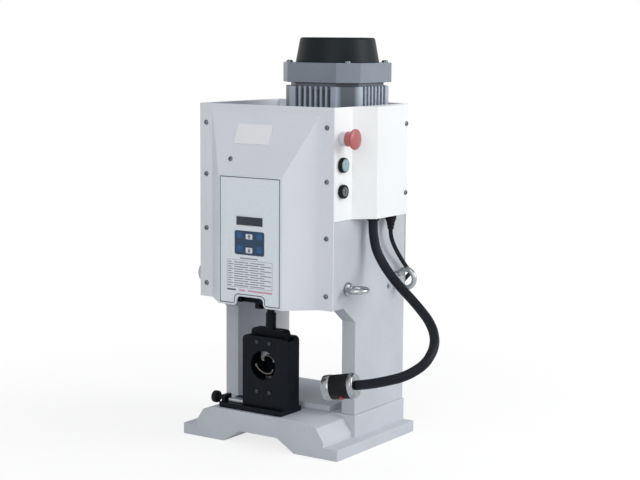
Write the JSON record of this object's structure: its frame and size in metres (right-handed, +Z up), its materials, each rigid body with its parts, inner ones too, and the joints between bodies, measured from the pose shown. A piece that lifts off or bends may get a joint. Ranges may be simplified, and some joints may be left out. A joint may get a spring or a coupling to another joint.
{
  "type": "terminal crimping machine",
  "caption": "Bench-top electric terminal crimping press with crimping die, side control box, motor and gooseneck lamp.",
  "frame": {"origin": "middle of the footprint on the bench, with the lamp and lifting eyes counted and the mains cord left out", "axes": "+Z up, -Y towards the operator, +X to the operator's right, where the side box and the lamp are"},
  "size_m": [0.4488, 0.3861, 0.6087],
  "materials": {
    "light_grey_paint": "satin powder coat, light silver grey",
    "white_paint": "satin powder coat, off white",
    "grey_film": "light grey printed membrane film",
    "blank_label": "plain white plate, left blank",
    "display_glass": "dark display window",
    "zinc_plate": "bright zinc plate",
    "black_oxide": "black oxide steel, lightly oiled",
    "ground_steel": "ground and turned steel",
    "motor_alloy": "grey lacquered cast aluminium",
    "grey_iron": "machined grey iron",
    "bronze": "turned bronze",
    "black_plastic": "black moulded plastic",
    "red_plastic": "red moulded plastic",
    "green_lens": "pale green lens",
    "clear_lens": "clear lamp lens",
    "grey_plastic": "grey moulded plastic",
    "black_rubber": "black rubber and plastic sheath",
    "green_board": "green circuit board"
  },
  "bodies": {
    "machine": {"base_casting": "light_grey_paint", "rear_table_plate": "light_grey_paint", "left_side_frame": "light_grey_paint", "right_side_frame": "light_grey_paint", "head_block": "grey_iron", "housing_shell": "light_grey_paint", "side_box_cover": "white_paint", "front_cover": "light_grey_paint", "panel_film": "grey_film", "display_window": "display_glass", "badge_plate": "blank_label", "front_left_lifting_eye": "zinc_plate", "rear_left_lifting_eye": "zinc_plate", "front_right_lifting_eye": "zinc_plate", "rear_right_lifting_eye": "zinc_plate", "front_main_bearing": "ground_steel", "rear_main_bearing": "ground_steel", "left_gib": "black_oxide", "right_gib": "black_oxide", "gear_case": "motor_alloy", "motor_body": "motor_alloy", "motor_end_plate": "motor_alloy", "fan_cover": "black_plastic", "estop_collar": "grey_plastic", "start_button_ring": "black_plastic", "key_switch_body": "black_plastic", "estop_contacts": "grey_plastic", "start_contacts": "grey_plastic", "key_contacts": "grey_plastic", "control_board": "green_board", "hose_socket": "black_plastic", "gooseneck_hose": "black_rubber", "lamp_rear_ring": "zinc_plate", "lamp_body": "black_plastic", "lamp_front_ring": "zinc_plate", "lamp_lens": "clear_lens", "cord_gland": "black_plastic", "power_cord": "black_rubber", "cord_coil": "black_rubber", "plug": "black_plastic", "die_base_plate": "black_oxide", "die_front_plate": "black_oxide", "die_rear_frame": "black_oxide", "lower_jaw": "ground_steel"},
    "crank": {"crankshaft": "ground_steel", "crank_bearing": "ground_steel", "worm_wheel": "bronze"},
    "ram": {"ram_block": "black_oxide", "ram_hook": "black_oxide", "die_slide": "black_oxide", "upper_jaw": "ground_steel"},
    "rotor": {"motor_shaft": "ground_steel", "cooling_fan": "black_plastic"},
    "estop_plunger": {"estop_stem": "ground_steel"},
    "estop_button": {"estop_head": "red_plastic"},
    "start_button": {"start_button_cap": "green_lens"},
    "key_switch": {"key_cylinder": "grey_plastic"},
    "lamp_button": {"lamp_switch": "red_plastic"},
    "die_clamp_bar": {"clamp_bar": "ground_steel"},
    "die_clamp_knob": {"clamp_knob": "black_plastic"}
  },
  "joints": [
    {"name": "crank_turn", "type": "hinge", "parent": "machine", "child": "crank", "pos_m": [-0.06835, -0.00258, 0.33], "axis": [0, 1, 0], "range_deg": [0, 180]},
    {"name": "ram_stroke", "type": "slide", "parent": "machine", "child": "ram", "axis": [0, 0, -1], "range_m": [0, 0.03]},
    {"name": "motor_turn", "type": "hinge", "parent": "machine", "child": "rotor", "pos_m": [-0.02835, 0.06802, 0.45], "axis": [0, 0, 1], "range_deg": [0, 5400]},
    {"name": "estop_press", "type": "slide", "parent": "machine", "child": "estop_plunger", "axis": [-1, 0, 0], "range_m": [0, 0.004]},
    {"name": "estop_twist", "type": "hinge", "parent": "estop_plunger", "child": "estop_button", "pos_m": [0.07165, -0.04158, 0.465], "axis": [1, 0, 0], "range_deg": [0, 45]},
    {"name": "start_press", "type": "slide", "parent": "machine", "child": "start_button", "axis": [-1, 0, 0], "range_m": [0, 0.003], "stiffness_N_per_m": 250, "springref_m": -0.002},
    {"name": "key_turn", "type": "hinge", "parent": "machine", "child": "key_switch", "pos_m": [0.05165, -0.04158, 0.389], "axis": [1, 0, 0], "range_deg": [0, 90]},
    {"name": "lamp_press", "type": "slide", "parent": "machine", "child": "lamp_button", "axis": [-0.2437, 0.5884, 0.771], "range_m": [0, 0.0012], "stiffness_N_per_m": 200, "springref_m": -0.001},
    {"name": "clamp_slide", "type": "slide", "parent": "machine", "child": "die_clamp_bar", "axis": [-1, 0, 0], "range_m": [0, 0.00374]},
    {"name": "clamp_screw", "type": "hinge", "parent": "die_clamp_bar", "child": "die_clamp_knob", "pos_m": [-0.15835, -0.05958, 0.0612], "axis": [-1, 0, 0], "range_deg": [0, 1080]}
  ],
  "couplings": [
    {"joint": "ram_stroke", "follows": "crank_turn", "m_per_rad": 0.0095493},
    {"joint": "motor_turn", "follows": "crank_turn", "ratio": 30},
    {"joint": "clamp_screw", "follows": "clamp_slide", "rad_per_m": 5026.5}
  ]
}
